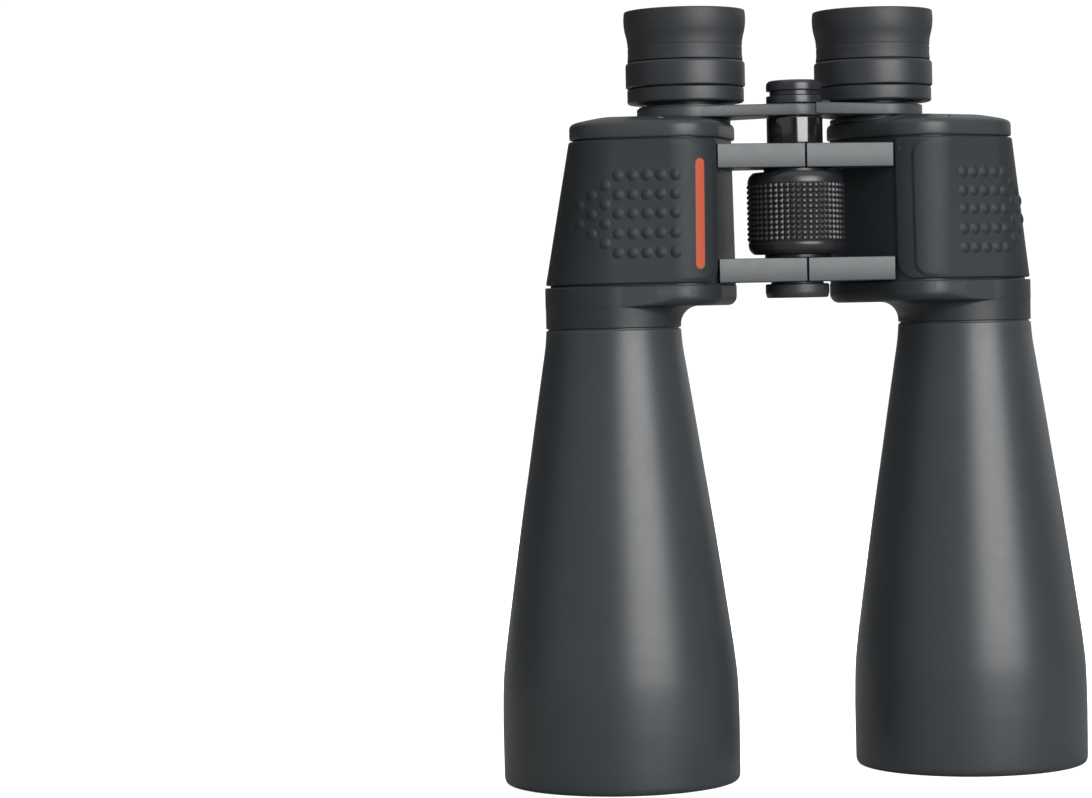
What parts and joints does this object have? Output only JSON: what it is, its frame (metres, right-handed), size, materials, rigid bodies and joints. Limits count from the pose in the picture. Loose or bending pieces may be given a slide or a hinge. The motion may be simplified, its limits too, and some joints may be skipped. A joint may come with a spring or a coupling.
{
  "type": "binoculars",
  "caption": "Giant Porro-prism binoculars for astronomy, standing on their objectives: hinged halves, centre focus wheel and bridge, folding rubber eyecups.",
  "frame": {"origin": "on the base plane, midway between the two objective axes, at the bottom centre of the bounding box", "axes": "+Z from the objectives up to the eyepieces, +X towards the half with the diopter ring, +Y towards the side away from the focus wheel's exposed face"},
  "size_m": [0.2206, 0.086, 0.28],
  "materials": {
    "barrel_paint": "matte dark blue-grey baked paint",
    "housing_paint": "satin dark grey paint on cast metal",
    "arm_paint": "satin mid-grey paint with a fine speckle",
    "armour_rubber": "fine matte moulded rubber",
    "moulded_plastic": "satin black moulding",
    "eyecup_rubber": "satin soft rubber",
    "wheel_rubber": "glossy black rubber with moulded knurling",
    "gloss_black": "gloss black enamel",
    "blackened_aluminium": "black anodised",
    "plated_steel": "plated",
    "turned_brass": "turned",
    "washer_polymer": "smooth black",
    "coated_glass": "polished and anti-reflection coated"
  },
  "bodies": {
    "left_half": {"left_objective_barrel": "barrel_paint", "left_objective_cell": "blackened_aluminium", "left_crown_lens": "coated_glass", "left_flint_lens": "coated_glass", "left_lens_retaining_ring": "blackened_aluminium", "left_front_cover": "housing_paint", "left_prism_housing": "housing_paint", "left_armour": "armour_rubber", "left_rear_cover": "moulded_plastic", "left_cover_screw_1": "plated_steel", "left_cover_screw_2": "plated_steel", "left_cover_screw_3": "plated_steel", "left_prism_shelf": "blackened_aluminium", "left_objective_prism": "coated_glass", "left_objective_prism_strap": "plated_steel", "left_eyepiece_prism": "coated_glass", "left_eyepiece_prism_strap": "plated_steel", "left_eyepiece_guide": "housing_paint", "hinge_sleeve": "gloss_black", "hinge_pin": "plated_steel", "lower_thrust_washer": "washer_polymer", "upper_thrust_washer": "washer_polymer"},
    "right_half": {"right_objective_barrel": "barrel_paint", "right_objective_cell": "blackened_aluminium", "right_crown_lens": "coated_glass", "right_flint_lens": "coated_glass", "right_lens_retaining_ring": "blackened_aluminium", "right_front_cover": "housing_paint", "right_prism_housing": "housing_paint", "right_armour": "armour_rubber", "right_rear_cover": "moulded_plastic", "right_cover_screw_1": "plated_steel", "right_cover_screw_2": "plated_steel", "right_cover_screw_3": "plated_steel", "right_prism_shelf": "blackened_aluminium", "right_objective_prism": "coated_glass", "right_objective_prism_strap": "plated_steel", "right_eyepiece_prism": "coated_glass", "right_eyepiece_prism_strap": "plated_steel", "right_eyepiece_guide": "housing_paint"},
    "focus_wheel": {"focus_wheel": "wheel_rubber", "focus_nut": "turned_brass"},
    "bridge": {"bridge_left_arm": "arm_paint", "bridge_cap": "gloss_black", "focus_spindle": "plated_steel", "left_eyepiece_tube": "blackened_aluminium", "left_field_lens": "coated_glass", "left_eye_lens": "coated_glass", "left_eyepiece_collar": "moulded_plastic", "left_eyepiece_head": "moulded_plastic"},
    "left_eyecup": {"left_eyecup": "eyecup_rubber"},
    "right_bridge": {"bridge_right_arm": "arm_paint"},
    "right_ocular": {"right_eyepiece_tube": "blackened_aluminium", "right_field_lens": "coated_glass", "right_eye_lens": "coated_glass", "right_eyepiece_head": "moulded_plastic"},
    "diopter_ring": {"right_diopter_ring": "moulded_plastic"},
    "right_eyecup": {"right_eyecup": "eyecup_rubber"},
    "tripod_stud": {"tripod_stud": "turned_brass"},
    "tripod_cap": {"tripod_cap": "moulded_plastic"}
  },
  "joints": [
    {"name": "interpupillary_fold", "type": "hinge", "parent": "left_half", "child": "right_half", "pos_m": [0, -0.0086, 0.2], "axis": [0, 0, 1], "range_deg": [0, 40.4]},
    {"name": "focus_turn", "type": "hinge", "parent": "left_half", "child": "focus_wheel", "pos_m": [0, -0.0086, 0.205], "axis": [0, 0, -1], "range_deg": [0, 405]},
    {"name": "focus_travel", "type": "slide", "parent": "left_half", "child": "bridge", "axis": [0, 0, 1], "range_m": [0, 0.009]},
    {"name": "left_eyecup_fold", "type": "slide", "parent": "bridge", "child": "left_eyecup", "axis": [0, 0, -1], "range_m": [0, 0.0085], "deforming": ["left_eyecup"]},
    {"name": "bridge_fold", "type": "hinge", "parent": "bridge", "child": "right_bridge", "pos_m": [0, -0.0086, 0.243], "axis": [0, 0, 1], "range_deg": [0, 40.4]},
    {"name": "diopter_travel", "type": "slide", "parent": "right_bridge", "child": "right_ocular", "axis": [0, 0, 1], "range_m": [-0.00105, 0.00105]},
    {"name": "diopter_turn", "type": "hinge", "parent": "right_ocular", "child": "diopter_ring", "pos_m": [0.03617, 0.0086, 0.249], "axis": [0, 0, 1], "range_deg": [-60, 60]},
    {"name": "right_eyecup_fold", "type": "slide", "parent": "right_ocular", "child": "right_eyecup", "axis": [0, 0, -1], "range_m": [0, 0.0085], "deforming": ["right_eyecup"]},
    {"name": "tripod_cap_travel", "type": "slide", "parent": "left_half", "child": "tripod_stud", "axis": [0, 0, -1], "range_m": [0, 0.00635]},
    {"name": "tripod_cap_turn", "type": "hinge", "parent": "tripod_stud", "child": "tripod_cap", "pos_m": [0, -0.0086, 0.177], "axis": [0, 0, -1], "range_deg": [0, 1800]}
  ],
  "couplings": [
    {"joint": "focus_turn", "follows": "focus_travel", "rad_per_m": 785.39},
    {"joint": "bridge_fold", "follows": "interpupillary_fold", "ratio": 1},
    {"joint": "diopter_turn", "follows": "diopter_travel", "rad_per_m": 997.3},
    {"joint": "tripod_cap_turn", "follows": "tripod_cap_travel", "rad_per_m": 4947.3}
  ]
}
